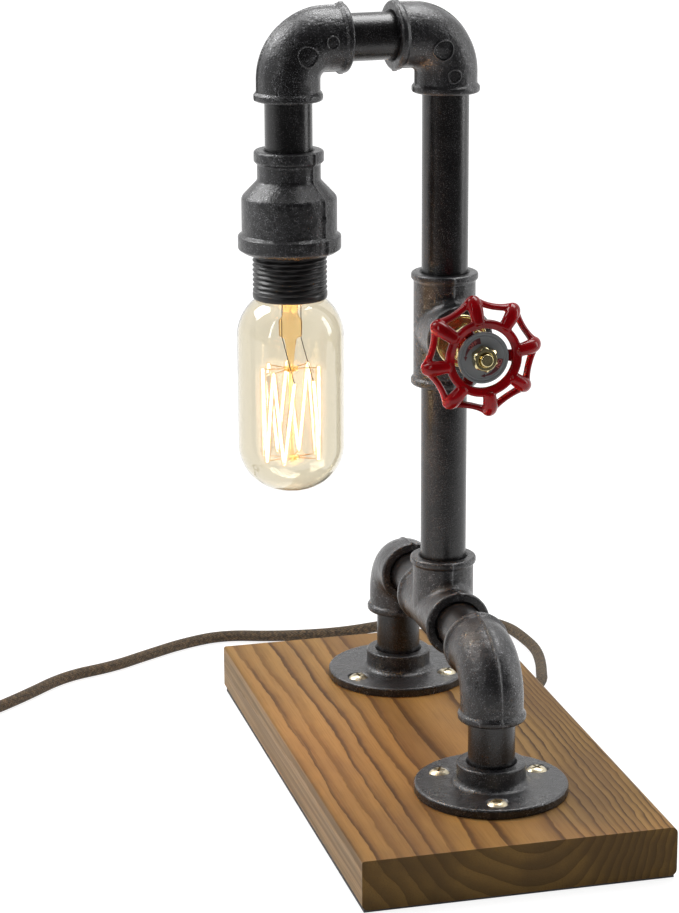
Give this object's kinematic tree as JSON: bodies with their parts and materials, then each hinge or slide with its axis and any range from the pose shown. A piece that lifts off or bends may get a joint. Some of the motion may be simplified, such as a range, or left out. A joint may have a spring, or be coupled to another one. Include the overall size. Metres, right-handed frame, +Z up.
{
  "type": "industrial pipe table lamp",
  "caption": "Table lamp of black pipe and beaded fittings on a wooden board, with a red handwheel switch, a hanging bare tubular bulb and a brown textile cord.",
  "frame": {"origin": "centre of the felt's underside, on the table", "axes": "+Z up, +Y along the board towards the rear leg, +X to the right seen from the handwheel"},
  "size_m": [0.4209, 0.3689, 0.3801],
  "materials": {
    "board_wood": "stained pine, satin oil",
    "felt": "black felt",
    "cast_fitting": "black oiled malleable casting, fine sand texture",
    "black_pipe": "black oiled pipe",
    "plated_steel": "yellow passivated zinc",
    "brass_turned": "turned brass",
    "brass_contact": "bright brass",
    "black_plastic": "black, satin",
    "black_rubber": "matt black",
    "ceramic_core": "unglazed white",
    "red_enamel": "glossy red enamel",
    "dial_metal": "grey, satin",
    "textile_cord": "brown braided textile",
    "flex_sheath": "black sheath",
    "clear_glass": "clear with a faint amber tint",
    "stem_glass": "clear glass stem",
    "cap_metal": "bright",
    "black_glass": "black glass",
    "glow_filament": "glowing",
    "support_wire": "bare wire"
  },
  "bodies": {
    "stand": {"base_board": "board_wood", "felt_sheet": "felt", "channel_cover": "black_plastic", "cover_screws": "plated_steel", "cord_clamp": "black_plastic", "clamp_screws": "plated_steel", "cord_sleeve": "black_rubber", "inlet_cord": "textile_cord", "lower_flex": "flex_sheath", "upper_flex": "flex_sheath", "neutral_core": "flex_sheath", "flange_screws": "plated_steel", "front_flange": "cast_fitting", "front_riser_nipple": "black_pipe", "front_leg_elbow": "cast_fitting", "front_cross_nipple": "black_pipe", "rear_flange": "cast_fitting", "rear_riser_nipple": "black_pipe", "rear_leg_elbow": "cast_fitting", "rear_cross_nipple": "black_pipe", "base_tee": "cast_fitting", "lower_column_pipe": "black_pipe", "valve_tee": "cast_fitting", "upper_column_pipe": "black_pipe", "bonnet": "brass_turned", "packing_ring": "black_rubber", "packing_nut": "brass_turned", "switch_body": "black_plastic", "switch_contacts": "brass_contact", "switch_terminals": "brass_contact", "mains_cord": "textile_cord", "cord_coil": "textile_cord", "cord_tail": "textile_cord", "plug_body": "black_plastic", "plug_pins": "brass_contact"},
    "handwheel": {"handwheel": "red_enamel", "dial_plate": "dial_metal", "wheel_nut": "brass_turned", "valve_stem": "plated_steel", "switch_rotor": "black_plastic"},
    "arm": {"column_elbow": "cast_fitting", "arm_nipple": "black_pipe", "drop_elbow": "cast_fitting", "drop_nipple": "black_pipe", "reducing_socket": "cast_fitting", "holder_shell": "black_plastic", "holder_core": "ceramic_core", "screw_shell": "brass_contact", "centre_contact": "brass_contact", "holder_terminals": "brass_contact", "arm_flex": "flex_sheath"},
    "bulb_tip": {"cap_insulator": "black_glass", "cap_tip": "cap_metal"},
    "bulb": {"bulb_glass": "clear_glass", "bulb_cap": "cap_metal", "bulb_stem": "stem_glass", "filament": "glow_filament", "filament_hooks": "support_wire", "lead_wires": "support_wire"}
  },
  "joints": [
    {"name": "wheel_turn", "type": "hinge", "parent": "stand", "child": "handwheel", "pos_m": [0.0052, 0, 0.22605], "axis": [0, -1, 0], "range_deg": [-90, 0]},
    {"name": "arm_swivel", "type": "hinge", "parent": "stand", "child": "arm", "pos_m": [0.0052, 0, 0.3643], "axis": [0, 0, 1], "range_deg": [-30, 30]},
    {"name": "bulb_travel", "type": "slide", "parent": "arm", "child": "bulb_tip", "axis": [0, 0, -1], "range_m": [0, 0.01634]},
    {"name": "bulb_turn", "type": "hinge", "parent": "bulb_tip", "child": "bulb", "pos_m": [-0.07092, -0.0076, 0.26], "axis": [0, 0, -1], "range_deg": [0, 1620]}
  ],
  "couplings": [
    {"joint": "bulb_travel", "follows": "bulb_turn", "m_per_rad": 0.00057773}
  ]
}
